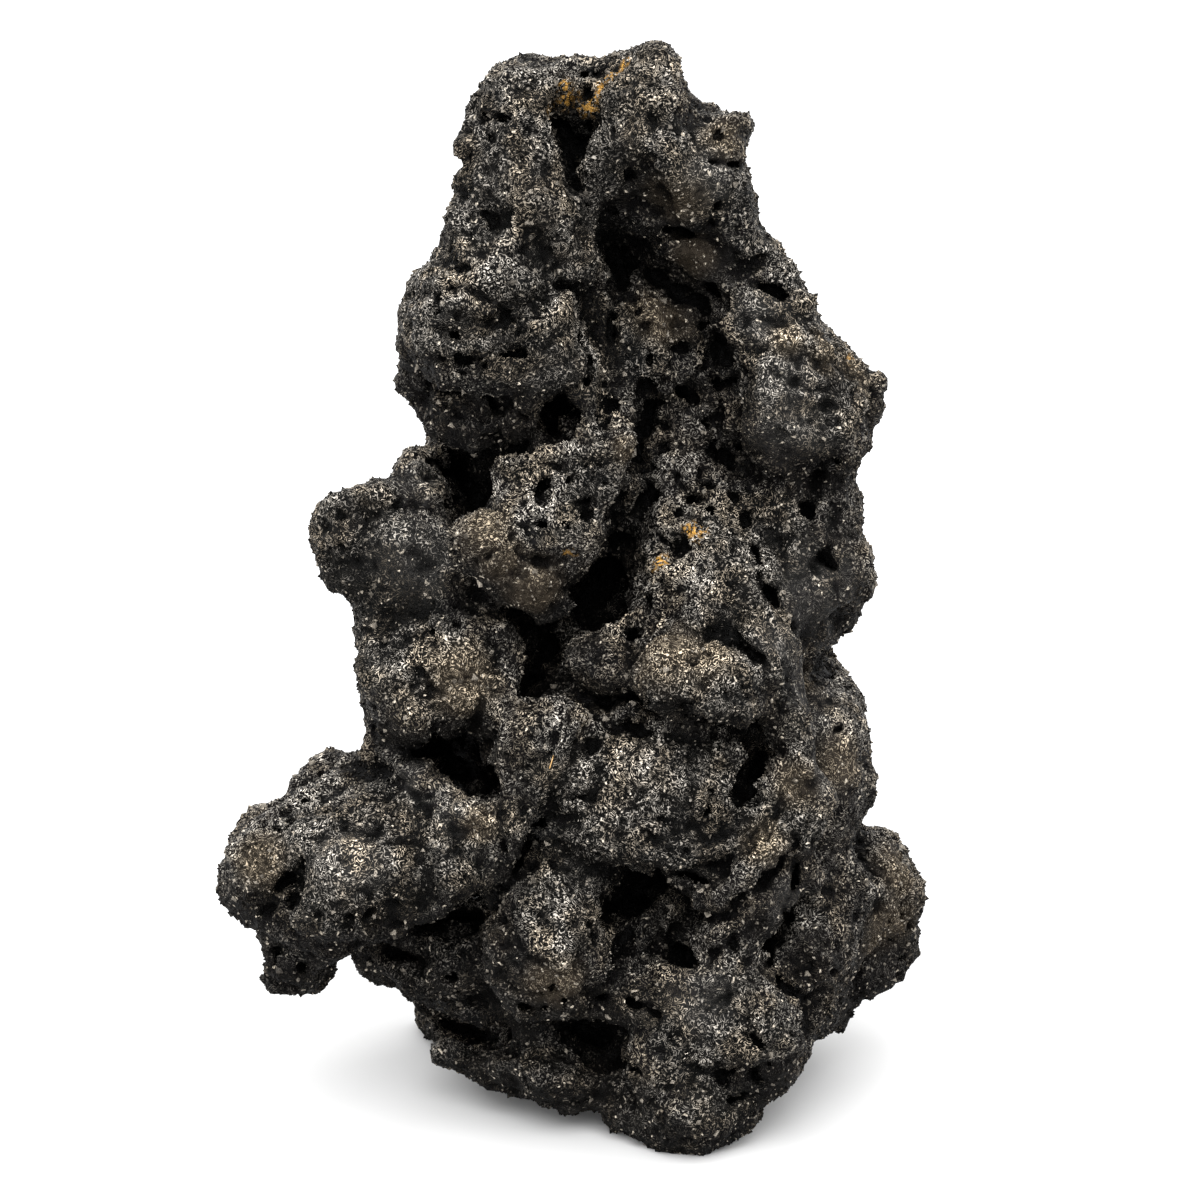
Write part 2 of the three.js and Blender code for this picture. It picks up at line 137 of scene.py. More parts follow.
# Ridges, ledges and lumps that show in front. Each has the points along it, across and up in the plane of the
# view, then half its width and how far it stands out.
RIDGES = [
    ([(-19, 196), (-13, 197)], 2.6, 1.2),
    ([(-21.5, 192.4), (-15, 192)], 1.6, 1.6),
    ([(-15, 188), (-16, 181), (-12, 173), (-6, 165), (-1, 161)], 4.2, 2.2),
    ([(-24, 184.5)], 2.4, 1.6),
    ([(-25, 177.5)], 2.2, 1.4),
    ([(-26, 171.5)], 2.0, 1.4),
    ([(1, 185), (8, 185.4), (14, 184.6)], 2.2, 1.5),
    ([(5, 193), (11, 193)], 5.0, 1.5),
    ([(11, 182), (15, 177), (17, 172.5)], 3.6, 2.2),
    ([(2, 172), (6, 171), (10, 170.5)], 2.2, 1.8),
    ([(13, 166.5), (18, 164.5), (20, 161.5)], 3.2, 2.6),
    ([(22, 187), (25, 188.4)], 2.6, 2.0),
    ([(24, 169), (29, 166), (33, 161)], 2.8, 2.0),
    ([(26, 157), (31, 155.4), (37, 155)], 2.6, 1.6),
    ([(23.5, 166), (23, 156), (25, 147)], 1.7, 1.6),
    ([(25, 149.8), (33, 149.8), (42, 147), (46.5, 143.5)], 1.7, 1.9),
    ([(49.4, 139.5), (50, 136)], 2.4, 1.8),
    ([(26, 144.2), (36, 143.2), (46, 140)], 1.3, 1.3),
    ([(27, 139.5), (37, 139), (47, 136)], 1.3, 1.1),
    ([(35, 131.5), (40, 130), (45, 131)], 1.8, 1.8),
    ([(44, 120), (47.5, 110), (45, 103)], 2.0, 1.2),
    ([(-30, 159), (-22, 160.5), (-12, 160), (-5, 161)], 2.8, 2.0),
    ([(-34, 148.6), (-27, 148.4), (-20, 149), (-12, 150.5)], 2.0, 1.7),
    ([(-8.5, 157), (-8, 150), (-7, 144)], 3.0, 1.8),
    ([(-35, 141), (-28, 142), (-18, 141), (-10, 141.5)], 2.2, 2.2),
    ([(-29, 137.6), (-22, 138), (-14, 138.6)], 3.0, 5.0),
    ([(-27, 133), (-20, 132.5), (-13, 133)], 4.2, 3.0),
    ([(-17, 126), (-8, 128), (2, 128.6)], 2.4, 2.0),
    ([(-17, 119), (-8, 120), (1, 121)], 1.8, 1.3),
    ([(-14, 112), (-6, 112.4), (0, 113)], 2.2, 1.4),
    ([(4.6, 130)], 2.2, 2.4),
    ([(-22, 114), (-19, 110)], 3.8, 2.6),
    ([(-13, 106), (-10, 101)], 4.2, 2.2),
    ([(-50, 117), (-40, 120.5), (-31, 121)], 2.8, 1.8),
    ([(-49, 111), (-47, 105)], 2.4, 1.2),
    ([(-36, 96), (-27, 97), (-19, 96)], 3.0, 1.5),
    ([(-17, 93), (-16.6, 86), (-20, 79)], 2.4, 2.0),
    ([(-38, 88), (-34, 80)], 4.0, 1.3),
    ([(-1.5, 90.5), (1.5, 88.5)], 3.8, 2.8),
    ([(1, 95), (5, 97.6)], 1.4, 1.6),
    ([(11, 91), (18, 91), (25, 88)], 3.8, 2.8),
    ([(27, 97.5), (31, 90), (35, 80), (37, 70)], 2.0, 2.2),
    ([(10, 83), (18, 82), (26, 80)], 1.7, 1.9),
    ([(-1, 81.5), (8, 80), (18, 78.6), (27, 78.6)], 3.0, 4.0),
    ([(7, 40), (11.5, 42.6), (13.5, 46)], 2.8, 4.0),
    ([(-25, 75.4), (-18.5, 73.6)], 2.4, 3.6),
    ([(36, 62), (30, 56), (24, 49.5), (19, 45.5)], 2.3, 3.2),
    ([(34, 51), (28, 44.4), (21, 40)], 2.2, 3.0),
    ([(13.5, 44), (17, 43)], 2.0, 1.8),
    ([(0, 56), (8, 55.4), (17, 55), (24, 57)], 2.0, 2.0),
    ([(-5, 78), (-11, 66), (-16, 55)], 1.4, 2.2),
    ([(-2, 72), (-7, 62), (-9.5, 53)], 1.5, 1.8),
    ([(-14, 77.5), (-11.5, 74.5)], 2.2, 2.2),
    ([(-56, 68), (-50, 71), (-40, 73.5), (-33, 69.5), (-26, 64), (-20, 61)], 1.8, 2.4),
    ([(-29, 63), (-28, 56), (-30, 49)], 1.6, 1.6),
    ([(-48, 52), (-38, 52.4)], 5.5, 2.2),
    ([(-64, 56), (-62, 48)], 3.0, 1.6),
    ([(-57, 35)], 4.5, 1.6),
    ([(-58, 43), (-48, 41.4), (-38, 41.6), (-28, 46)], 2.0, 2.2),
    ([(-12, 47), (-9, 38), (-8, 32)], 4.6, 2.4),
    ([(-10, 31.4), (-5, 30.4)], 2.0, 2.0),
    ([(-38, 33), (-29, 28.4), (-20, 25), (-15, 20.5)], 1.6, 2.6),
    ([(-33, 19.5), (-27, 18.5)], 2.2, 1.4),
    ([(-12, 16), (-4, 13)], 3.0, 1.5),
    ([(12, 33), (22, 33), (29, 28)], 3.0, 1.7),
    ([(10, 20), (14, 12), (17, 6)], 4.0, 1.6),
    ([(28.6, 24.2)], 1.6, 1.8),
    ([(20, 18.6), (28, 18.6), (36, 20)], 1.6, 1.6),
    ([(37, 41), (41, 35), (41, 27)], 2.0, 1.6),
    ([(50, 54), (55, 48)], 4.0, 1.3),
    ([(36.5, 60), (38, 53), (40, 47)], 1.4, 1.6),
]

# Holes, clefts and undercuts that show in front: the points along each, then half its width and its depth.
CLEFTS = [
    ([(-6.5, 196.8), (-3, 197.5), (1, 198)], 1.7, 5),
    ([(-6.6, 188.6), (-5, 184.6)], 2.7, 13),
    ([(-1.2, 188.8), (-1.6, 187.6)], 1.2, 6),
    ([(10, 189.4)], 0.9, 3),
    ([(-17.5, 196)], 1.0, 3),
    ([(-6.5, 183), (-4.6, 178.6), (-4, 176.4)], 1.4, 9),
    ([(-4, 176), (-2.6, 172.8)], 1.0, 7),
    ([(-21, 190.4), (-17, 189.4)], 1.4, 7),
    ([(-20.5, 187.5), (-19.5, 185)], 1.0, 4),
    ([(-25, 162.2), (-22.5, 161.8)], 1.0, 5),
    ([(-22, 156.6), (-17, 155.6), (-12, 156.4)], 0.9, 2.5),
    ([(-35, 152), (-28, 151.4), (-21, 152.4)], 1.5, 3),
    ([(-33, 145.6), (-26, 145.2), (-20, 145), (-13, 145.6)], 1.1, 4),
    ([(-7.5, 158.8), (-2, 158.2)], 1.0, 6),
    ([(-5.5, 163.2), (-4, 162.6)], 1.0, 4),
    ([(4, 179.4), (5.4, 179.2)], 0.9, 4),
    ([(2.6, 165), (4.6, 160)], 2.2, 15),
    ([(6, 163.4), (9, 161.6)], 1.5, 9),
    ([(11, 160.4), (15, 158), (18.5, 155)], 2.3, 12),
    ([(20, 158.5), (21.6, 156.6)], 1.5, 9),
    ([(11, 169.4), (14, 168.8), (17.5, 168)], 1.1, 6),
    ([(20.6, 173), (20.4, 170.5)], 1.1, 6),
    ([(21, 182), (24.5, 180.6), (28, 180)], 1.2, 9),
    ([(28, 160.4), (31, 158.4), (34.5, 156.4)], 1.1, 7),
    ([(15, 148.6), (15.6, 146.8)], 1.5, 8),
    ([(22, 149.6), (22.4, 146.8)], 1.6, 9),
    ([(18.4, 151.4)], 1.3, 6),
    ([(14.5, 139.6), (18, 139)], 1.4, 7),
    ([(22.5, 141.5), (25.5, 142.4)], 1.2, 7),
    ([(8, 147), (9, 144.6)], 1.1, 6),
    ([(12, 134.6)], 1.3, 6),
    ([(19, 134), (21, 133)], 1.2, 6),
    ([(-3.2, 148.4), (-2.2, 144), (-3.6, 139)], 1.2, 8),
    ([(1, 137.4), (0.4, 134)], 1.3, 7),
    ([(-20, 138.4), (-19.6, 136.8)], 1.1, 5),
    ([(-8.6, 135.6), (-8, 132.6)], 2.3, 10),
    ([(-31, 130.4), (-27, 128.6), (-20, 128.8), (-13, 130)], 1.5, 9),
    ([(-25.5, 126), (-23, 121), (-21.6, 119)], 2.7, 14),
    ([(-29, 126), (-26, 125)], 1.9, 9),
    ([(8.8, 136.6), (7.6, 128), (8.4, 121), (5.6, 115)], 2.3, 12),
    ([(5, 114), (3, 109), (1, 104), (-2, 99.4)], 3.8, 15),
    ([(3.4, 100), (-3, 97.4)], 2.6, 12),
    ([(-7, 97.6), (-10, 96.6)], 1.3, 8),
    ([(-8.6, 93.4), (-11, 89.8), (-13.4, 85.4)], 2.0, 12),
    ([(-35, 121.6), (-33, 121.4)], 0.9, 4),
    ([(-29.6, 96.2), (-27.4, 96)], 0.9, 4),
    ([(-30, 74.6), (-26, 70.8), (-20, 68.4)], 3.1, 14),
    ([(-21.5, 172.6), (-19.5, 170)], 1.5, 3.5),
    ([(22, 128.4), (25, 126.4)], 2.1, 9),
    ([(14, 118.6)], 1.1, 6),
    ([(12, 115.6)], 1.0, 5),
    ([(17, 119.4)], 0.9, 5),
    ([(20.5, 117)], 0.9, 5),
    ([(13.8, 110.8)], 1.5, 7),
    ([(27.6, 111.5), (28.6, 108.5)], 1.3, 7),
    ([(29, 106), (31, 102), (33.6, 98.4), (37, 94.6)], 1.4, 8),
    ([(38.6, 119.4), (38.2, 116)], 1.8, 7),
    ([(39.6, 123.4), (43, 126.4)], 1.3, 6),
    ([(40.4, 109.6), (42, 107)], 1.3, 6),
    ([(45.2, 115.6), (45.8, 113.6)], 0.8, 3),
    ([(48, 135.2)], 0.9, 4),
    ([(25.4, 93.6), (26.4, 90.6), (28.4, 89.2)], 1.0, 6),
    ([(41.2, 91.6), (41.8, 87.6), (44.3, 85.2)], 0.9, 6),
    ([(42.3, 78.4), (45, 79), (48, 79.6)], 0.9, 6),
    ([(9, 83), (10, 80)], 1.4, 4),
    ([(29.6, 75), (27.6, 71), (26.6, 67)], 2.0, 10),
    ([(32, 77.6), (30.6, 76)], 1.0, 6),
    ([(19.8, 66.6), (19.2, 62)], 0.9, 5),
    ([(8, 49.6), (5, 46.4), (2.6, 44)], 2.3, 14),
    ([(9, 52.2), (14, 51.4), (19, 50)], 1.4, 8),
    ([(35.6, 57.5), (32.4, 53.4), (30, 50.6)], 1.0, 6),
    ([(24, 46.4), (26, 47.8)], 1.1, 6),
    ([(15.4, 41)], 0.9, 4),
    ([(14.6, 37.6), (16.4, 35.6)], 2.3, 10),
    ([(20, 36.6), (24.5, 38.2)], 0.9, 4),
    ([(30.4, 39.6), (31.6, 35), (35.6, 30)], 1.5, 7),
    ([(34, 43), (35.2, 48), (36.4, 53)], 1.1, 5),
    ([(42, 33.2)], 1.0, 4),
    ([(-54.2, 54.6), (-56, 51), (-58, 48.6)], 1.4, 7),
    ([(-44, 38.6), (-40, 37.8), (-36.6, 36.8), (-33.8, 35.4)], 1.7, 9),
    ([(-33, 40.8), (-26, 43.4), (-21, 45.4)], 2.0, 11),
    ([(-18.6, 49.4), (-15, 54), (-11.6, 60)], 1.3, 9),
    ([(-20, 47), (-17.4, 42)], 1.3, 7),
    ([(-28, 24), (-23, 22.8), (-18, 21)], 2.3, 11),
    ([(-15, 27.4), (-12, 25.4)], 1.1, 5),
    ([(-17.4, 34), (-15.4, 29.6)], 1.3, 6),
    ([(-1.6, 42), (-0.8, 39)], 0.9, 3.5),
    ([(-4, 28.4), (0, 28.8)], 1.0, 5),
    ([(-3.6, 22.6), (1, 20.6)], 2.5, 12),
    ([(4, 17), (6.6, 16)], 1.4, 8),
    ([(5, 27.4), (9, 27), (12.4, 25.4)], 1.1, 6),
    ([(20.8, 15.4), (22.2, 14.2)], 1.2, 6),
    ([(28.4, 15.6), (28.8, 13.8)], 1.3, 6),
    ([(27, 21.6), (29.2, 21)], 0.9, 5),
    ([(25, 10.6), (27, 11.6)], 0.9, 4),
]

# Where the surface is porous: across, up, and the radius of the patch.
POROUS = [
    (17, 143, 13), (18, 130, 13), (14, 118, 11), (24, 116, 8), (8, 152, 7), (-28, 152, 9),
    (-17, 150, 8), (-4, 196, 6), (22, 187, 5), (52, 36, 9), (-57, 36, 8), (-5, 27, 8), (-42, 42, 7),
    (9, 101, 7), (26, 13, 7), (-30, 30, 8), (-8, 121, 8), (3, 136, 6), (-58, 64, 7), (56, 43, 7),
    (12, 133, 9), (22, 137, 7),
]

# Where the surface is smooth and grey, with few grains; the grey is partly a painted sheen.
SMOOTH = [
    (34, 94, 4), (37, 86, 4.5), (40, 78, 5), (41.5, 70, 5), (-34, 69, 3), (-30, 66, 3), (-26, 63.5, 3),
    (33, 133, 8), (34, 140, 6), (30, 153, 5), (20, 179, 5), (-45, 54, 6), (-27, 62, 3.5), (40, 103, 8),
    (34, 48, 4), (38, 84, 5), (-33, 110, 8), (18, 29, 6), (-34, 122, 5), (31, 93, 4), (-28, 113, 6),
    (41, 70, 5),
]

# Where the black is tinted tan or brown.
TAN = [
    (-21, 114, 4.5), (-18, 109, 4), (-12, 104, 5), (13, 91, 6), (20, 90, 5), (14, 176, 5), (17, 165, 4),
    (23, 186, 4), (-22, 61, 3), (-62, 54, 5), (34, 149, 3), (41, 147, 4), (46, 143, 4), (53, 40, 7),
    (36, 68, 4), (-8, 32, 5), (44, 72, 5), (4.5, 129, 2.5), (9, 157, 4), (30, 57, 4), (-25, 87, 6),
    (54, 52, 5), (12, 153, 5), (38, 87, 3),
]

# Where the pale curls are faint and the stone blacker: painted shade over shadowed places and undersides.
SHADED_BLACK = [
    (-37, 103, 8), (-47, 106, 5), (-29, 101, 5), (-22, 132, 7), (-13, 132, 5), (-26, 152.5, 5),
    (-17, 152.5, 4), (4, 150, 5), (7, 120, 4), (16, 153, 5), (-2, 103, 6), (-20, 171, 4), (41, 123, 5),
    (42, 112, 6), (35, 102, 5), (15, 80, 5), (29, 70, 5), (-10, 85, 5), (-12, 57, 4), (-16, 50, 5),
    (-27, 38, 7), (-18, 37, 6), (-36, 30, 6), (-31, 23, 6), (-18, 19, 8), (-7, 17, 8), (0, 21, 8),
    (4, 28, 6), (-24, 16, 6), (0, 11, 6), (9, 41, 6), (14, 36, 5), (29, 12, 6), (38, 36, 6),
    (46, 30, 5), (18, 169, 4), (-57, 34, 4), (-63, 45, 5), (-36, 39, 6), (-2, 88.5, 6), (-31, 72, 6),
    (-23, 123, 5), (-20, 192, 4), (22, 160, 5), (-4, 160, 3), (48, 28, 5),
]

# Where the pale curls are brightest: painted highlight on lit places.
HIGHLIGHT_PATCHES = [
    (-29, 87, 9), (18, 89, 7), (-47, 51, 7), (-20, 167, 7), (-9, 154, 6), (-14, 120, 7), (34, 132, 7),
    (18, 178, 5), (4, 66, 11), (22, 21, 8), (-7, 40, 6), (34, 147, 5), (-24, 141, 6), (-22, 61, 4),
    (44, 76, 5), (-24, 159, 6), (14, 104, 6), (-9, 128, 5), (54, 46, 5), (-12, 138, 4), (30, 57, 4),
    (-50, 66, 5),
]

# Where yellow lichen clings.
LICHEN = [
    (-5.5, 192.4, 1.7), (-2.6, 192.2, 2.0), (0.4, 194.2, 1.8), (2.4, 196.6, 1.6), (4.4, 199, 1.8),
    (-8.8, 190, 1.2), (17.4, 114.4, 1.8), (11, 108.4, 1.8), (-6.6, 195.4, 1.2), (45, 145, 1.2),
    (9, 158, 1.0), (-6, 111, 1.0),
]

# The patches that the material reads, by name: tints, and patches of painted sheen, painted shade and painted
# highlight.
TINTS = {"smooth": SMOOTH, "tan": TAN, "black": SHADED_BLACK, "painted_highlight": HIGHLIGHT_PATCHES, "lichen": LICHEN}

# Where the dry straw lies: its ends, across and up. Its radius and how much of it tapers away, the rings and
# sides of its tube, and how far its ends are sunk and its middle stands off.
STRAW = [(-9.3, 70.4), (-8.4, 73.4)]
STRAW_RADIUS = 0.13
STRAW_TAPER = 0.6
STRAW_RINGS = 9
STRAW_SIDES = 6
STRAW_SUNK = 0.3
STRAW_ARCH = 0.9

# The first seed of each kind of noise and of random draw. Each wave, pit size or piece then has its own.
BEND_SEED = 40
CREST_SEED = 10
CLUSTER_SEED = 60
PIT_SEED = 3
EDGE_SEED = 70
CRUST_SEED = 500

# The colours of the stone: bare, smooth and tan, where the smooth grey is partly a painted sheen, its curls and
# dots, which are painted glints, its flecks and lichen, and the painted shade of its creases and holes.
BARE = (0.0015, 0.0015, 0.0015)
BARE_BROWN = (0.004, 0.0036, 0.0032)
SMOOTH_SHEEN_GREY = (0.017, 0.0164, 0.0158)
TAN_STONE = (0.030, 0.023, 0.0155)
PALE_GLINT = (0.90, 0.83, 0.73)
WARM_GLINT = (0.94, 0.79, 0.60)
TAN_GLINT = (0.96, 0.79, 0.57)
GLINT_DOT = (0.60, 0.53, 0.43)
FLECK = (0.27, 0.24, 0.20)
LICHEN_YELLOW = (0.50, 0.27, 0.06)
CREASE_SHADE = (0.001, 0.0009, 0.0008)
HOLE_SHADE = (0.0008, 0.0007, 0.0006)

# The straw's two colours, along its bands.
DARK_STRAW = (0.28, 0.14, 0.04)
PALE_STRAW = (0.62, 0.40, 0.16)


def lattice_noise(points, wave, seed):
    """Gradient noise at points, about -0.7 to 0.7, with features one wave apart, repeated after 256 waves."""
    rng = np.random.default_rng(seed)
    shuffle = np.tile(rng.permutation(256), 2)
    directions = rng.normal(size=(256, 3))
    slopes = (directions / np.linalg.norm(directions, axis=1, keepdims=True)).astype(np.float32)
    scaled = (points / wave).astype(np.float32) + 128
    cell = np.floor(scaled)
    inside = scaled - cell
    cell = cell.astype(np.int32) & 255
    ease = inside * inside * inside * (inside * (inside * 6 - 15) + 10)
    total = np.zeros(len(points), np.float32)
    for dx in (0, 1):
        row = shuffle[(cell[:, 0] + dx) & 255]
        weight_x = ease[:, 0] if dx else 1 - ease[:, 0]
        for dy in (0, 1):
            column = shuffle[(row + cell[:, 1] + dy) & 255]
            weight_y = ease[:, 1] if dy else 1 - ease[:, 1]
            for dz in (0, 1):
                corner = shuffle[(column + cell[:, 2] + dz) & 255]
                weight_z = ease[:, 2] if dz else 1 - ease[:, 2]
                slope = slopes[corner]
                rise = (
                    slope[:, 0] * (inside[:, 0] - dx)
                    + slope[:, 1] * (inside[:, 1] - dy)
                    + slope[:, 2] * (inside[:, 2] - dz)
                )
                total += weight_x * weight_y * weight_z * rise
    return total * 1.4


def pit_depth(points, cell, radii, share, seed):
    """How far inside a round pit each point is, below zero outside. Each cell of a lattice may hold one."""
    rng = np.random.default_rng(seed)
    kinds = 4096
    places = rng.random((kinds, 3)).astype(np.float32)
    radius = rng.uniform(*radii, kinds).astype(np.float32)
    present = rng.random(kinds) < share
    home = np.floor(points / cell).astype(np.int64)
    deepest = np.full(len(points), -cell, np.float32)
    for dx in (-1, 0, 1):
        for dy in (-1, 0, 1):
            for dz in (-1, 0, 1):
                near = home + (dx, dy, dz)
                # three large primes spread neighbouring cells over the kinds
                key = (near[:, 0] * 73856093 ^ near[:, 1] * 19349663 ^ near[:, 2] * 83492791) % kinds
                gap = points - (near + places[key]) * cell
                depth = radius[key] - np.sqrt((gap * gap).sum(1))
                deepest = np.where(present[key], np.maximum(deepest, depth), deepest)
    return deepest


class View:
    """The camera's place, and what it sees of the stone. A point of the picture is given as across and up."""

    def __init__(self, tree):
        self.tree = tree
        self.back = Vector((0, -math.cos(LOOK_DOWN), math.sin(LOOK_DOWN)))
        self.up = Vector((0, math.sin(LOOK_DOWN), math.cos(LOOK_DOWN)))
        self.middle_up = PICTURE / 2 - NEAR_FOOT_UP
        target_up = self.middle_up + NEAR_FOOT_Y * math.sin(LOOK_DOWN)
        self.target = Vector((VIEW_X, 0, target_up / math.cos(LOOK_DOWN)))
        self.distance = PICTURE * LENS / SENSOR
        self.eye = self.target + self.back * self.distance

    def place(self, points):
        """Where the camera sees each point: across, up, and how far behind the target's plane it is."""
        from_eye = points - np.array(self.eye, np.float32)
        ahead = -from_eye @ np.array(self.back, np.float32)
        scale = self.distance / ahead
        across = from_eye[:, 0] * scale
        up = (from_eye @ np.array(self.up, np.float32)) * scale + self.middle_up
        return np.stack([across, up, ahead - self.distance], 1)

    def surface(self, across, up):
        """The first point of the stone there. Just outside its outline, the search moves in to the middle."""
        for _ in range(12):
            aim = self.target + Vector((across, 0, 0)) + self.up * (up - self.middle_up)
            hit = self.tree.ray_cast(self.eye, (aim - self.eye).normalized())[0]
            if hit is not None:
                return hit
            across -= math.copysign(1, across)
        raise ValueError("no stone near that point of the view")

    def depth(self, across, up):
        """How far behind the target's plane the stone is there."""
        return float(self.place(np.array([self.surface(across, up)]))[0, 2])


def stone_tree(node):
    """A search tree of the node's mesh, in mm, for rays."""
    mesh = node.data
    mesh.calc_loop_triangles()
    corners = [vertex.co / MM for vertex in mesh.vertices]
    return BVHTree.FromPolygons(corners, [tuple(t.vertices) for t in mesh.loop_triangles])


def filled(tree, low, count):
    """The share of each sample's cell that is inside the stone, from rays that go straight up."""
    share = np.zeros(count, np.float32)
    heights = low[2] + STEP * np.arange(count[2])
    up = Vector((0, 0, 1))
    for i in range(count[0]):
        for j in range(count[1]):
            # a little off the grid, so that no ray runs along an edge
            start = Vector((low[0] + STEP * i + 0.013, low[1] + STEP * j + 0.017, low[2] - 1))
            sign = 1
            while True:
                hit = tree.ray_cast(start, up)[0]
                if hit is None:
                    break
                share[i, j] += sign * np.clip((heights - hit.z) / STEP + 0.5, 0, 1)
                sign = -sign
                start = hit + up * 1e-3
    return share


def blurred(values, reach):
    """Gaussian blur along each axis, with the reach in samples."""
    half = math.ceil(3 * reach)
    weights = np.exp(-0.5 * (np.arange(-half, half + 1) / reach) ** 2)
    weights = (weights / weights.sum()).astype(np.float32)
    for axis in range(3):
        padding = [(half, half) if a == axis else (0, 0) for a in range(3)]
        padded = np.moveaxis(np.pad(values, padding), axis, 0)
        size = values.shape[axis]
        smooth = sum(weight * padded[n : n + size] for n, weight in enumerate(weights))
        values = np.moveaxis(smooth, 0, axis)
    return values


def depth_from(share, rounding):
    """The distance to the surface, below zero inside, from how blurred the filled share is there."""
    soft = np.clip(blurred(share, rounding / STEP), 0.002, 0.998)
    # a flat edge under a Gaussian blur is close to a logistic curve of this width
    return 0.5875 * rounding * np.log((1 - soft) / soft)


def patches(points, view, places):
    """From 0 to 1, how far into any of the round patches on the front each point is, with a soft edge."""
    strength = np.zeros(len(points), np.float32)
    for across, up, radius in places:
        centre = np.array(view.surface(across, up), np.float32)
        near = np.flatnonzero(np.abs(points - centre).max(1) < 1.5 * radius)
        gap = np.linalg.norm(points[near] - centre, axis=1) / radius
        # full within about 0.6 of the radius, and gone at about 1.4 of it
        strength[near] = np.maximum(strength[near], np.clip(1.8 - 1.3 * gap, 0, 1))
    return strength


def along(points, spacing):
    """The points of a line, with more between them, no further apart than the spacing."""
    line = [np.array(points[0], float)]
    for first, last in zip(points, points[1:]):
        steps = math.ceil(math.dist(first, last) / spacing)
        line += [np.array(first) + (np.array(last) - first) * (n + 1) / steps for n in range(steps)]
    return line


def stroke(seen, near, view, line, half_width, half_depth, sunk):
    """How far inside a stroke each of the near points is: a rod along the line, with a depth of its own."""
    samples = [(place, view.depth(*place) + sunk) for place in along(line, SPACING)]
    if len(samples) == 1:
        samples *= 2
    least = np.full(len(near), 99, np.float32)
    for (first, first_depth), (last, last_depth) in zip(samples, samples[1:]):
        run = (last - first).astype(np.float32)
        gap = seen[near, :2] - first.astype(np.float32)
        share = np.clip(gap @ run / max(run @ run, 1e-6), 0, 1)
        aside = np.linalg.norm(gap - share[:, None] * run, axis=1) / half_width
        behind = (seen[near, 2] - first_depth - share * (last_depth - first_depth)) / half_depth
        least = np.minimum(least, np.sqrt(aside * aside + behind * behind))
    return (1 - least) * min(half_width, half_depth)


def close_to(seen, line, reach):
    """Which of the points the camera sees near the line."""
    corners = np.array(line, np.float32)
    low, high = corners.min(0) - reach, corners.max(0) + reach
    return np.flatnonzero(((seen[:, :2] > low) & (seen[:, :2] < high)).all(1))


def soft_max(a, b, width):
    """The larger of the two, with a smooth change over where they are within the width of each other."""
    overlap = np.clip(width - np.abs(a - b), 0, None) / width
    return np.maximum(a, b) + overlap * overlap * width / 4


def bent(points):
    """The points moved a little, each by smooth noise."""
    moved = points.copy()
    for number, (wave, reach) in enumerate(BEND):
        for axis in range(3):
            moved[:, axis] += reach * lattice_noise(points, wave, BEND_SEED + 3 * number + axis)
    return moved


def add_ridges(distance, seen, view):
    """Raises each ridge, as a rod that is partly sunk in the stone."""
    for line, half_width, rise in RIDGES:
        near = close_to(seen, line, half_width + STROKE_REACH)
        sunk = RIDGE_SUNK * half_width
        inside = stroke(seen, near, view, line, half_width, rise + sunk, sunk)
        distance[near] = -soft_max(-distance[near], inside, SOFT_RIDGE)


def with_crests(distance, moved, calm):
    """Sharp crests where each noise crosses zero, with hollows between them."""
    for number, (wave, height) in enumerate(CRESTS):
        crest = 0.5 - 2.6 * np.abs(lattice_noise(moved, wave, CREST_SEED + number))
        distance = distance - calm * height * crest
    return distance


def with_pits(distance, points, moved, view, calm):
    """Bubble pits, which are largest in the porous patches and shrink away outside them."""
    clusters = np.clip(lattice_noise(points, PIT_CLUSTERS, CLUSTER_SEED) * 2.2, 0, 1)
    amount = np.clip(patches(points, view, POROUS) + IN_CLUSTERS * clusters, 0, 1) * calm
    for number, (cell, radii, share) in enumerate(PITS):
        pits = pit_depth(moved, cell, radii, share, PIT_SEED + number) - (1 - amount) * radii[1]
        distance = soft_max(distance, np.minimum(pits, distance + DEEPEST_PIT), SOFT_PIT)
    return distance


def cut_clefts(distance, points, seen, view):
    """Cuts each cleft, and first the worn valley that it lies in if it is a wide one."""
    uneven = sum(reach * lattice_noise(points, wave, EDGE_SEED + n) for n, (wave, reach) in enumerate(EDGES))
    wider, shallower = VALLEY
    for line, half_width, depth in CLEFTS:
        near = close_to(seen, line, wider * half_width + STROKE_REACH)
        if half_width > NARROW:
            valley = stroke(seen, near, view, line, wider * half_width, shallower * depth, 0)
            distance[near] = soft_max(distance[near], valley + uneven[near] - VALLEY_TIGHTER, SOFT_VALLEY)
        cleft = stroke(seen, near, view, line, half_width, depth, 0)
        distance[near] = soft_max(distance[near], cleft + uneven[near] - CLEFT_TIGHTER, SOFT_CLEFT)


def roughened(points, distance, view):
    """The signed distance with the ridges, crests, pits and clefts in it."""
    moved = bent(points)
    seen = view.place(moved)
    calm = 1 - CALMED * patches(points, view, SMOOTH)
    add_ridges(distance, seen, view)
    distance = with_crests(distance, moved, calm)
    distance = with_pits(distance, points, moved, view, calm)
    cut_clefts(distance, points, seen, view)
    return distance


def without_corner_contacts(distance):
    """Fills samples until no four neighbours meet only at a corner, so that the surface is one clean skin."""
    for _ in range(8):
        changed = 0
        for axis in range(3):
            layers = np.moveaxis(distance, axis, 0)
            a, b = layers[:, :-1, :-1], layers[:, 1:, 1:]
            c, d = layers[:, 1:, :-1], layers[:, :-1, 1:]
            crossed = ((a < 0) & (b < 0) & (c >= 0) & (d >= 0)) | ((a >= 0) & (b >= 0) & (c < 0) & (d < 0))
            changed += int(crossed.sum())
            for part in (a, b, c, d):
                part[crossed & (part >= 0)] = -0.02
        if not changed:
            break
    return distance


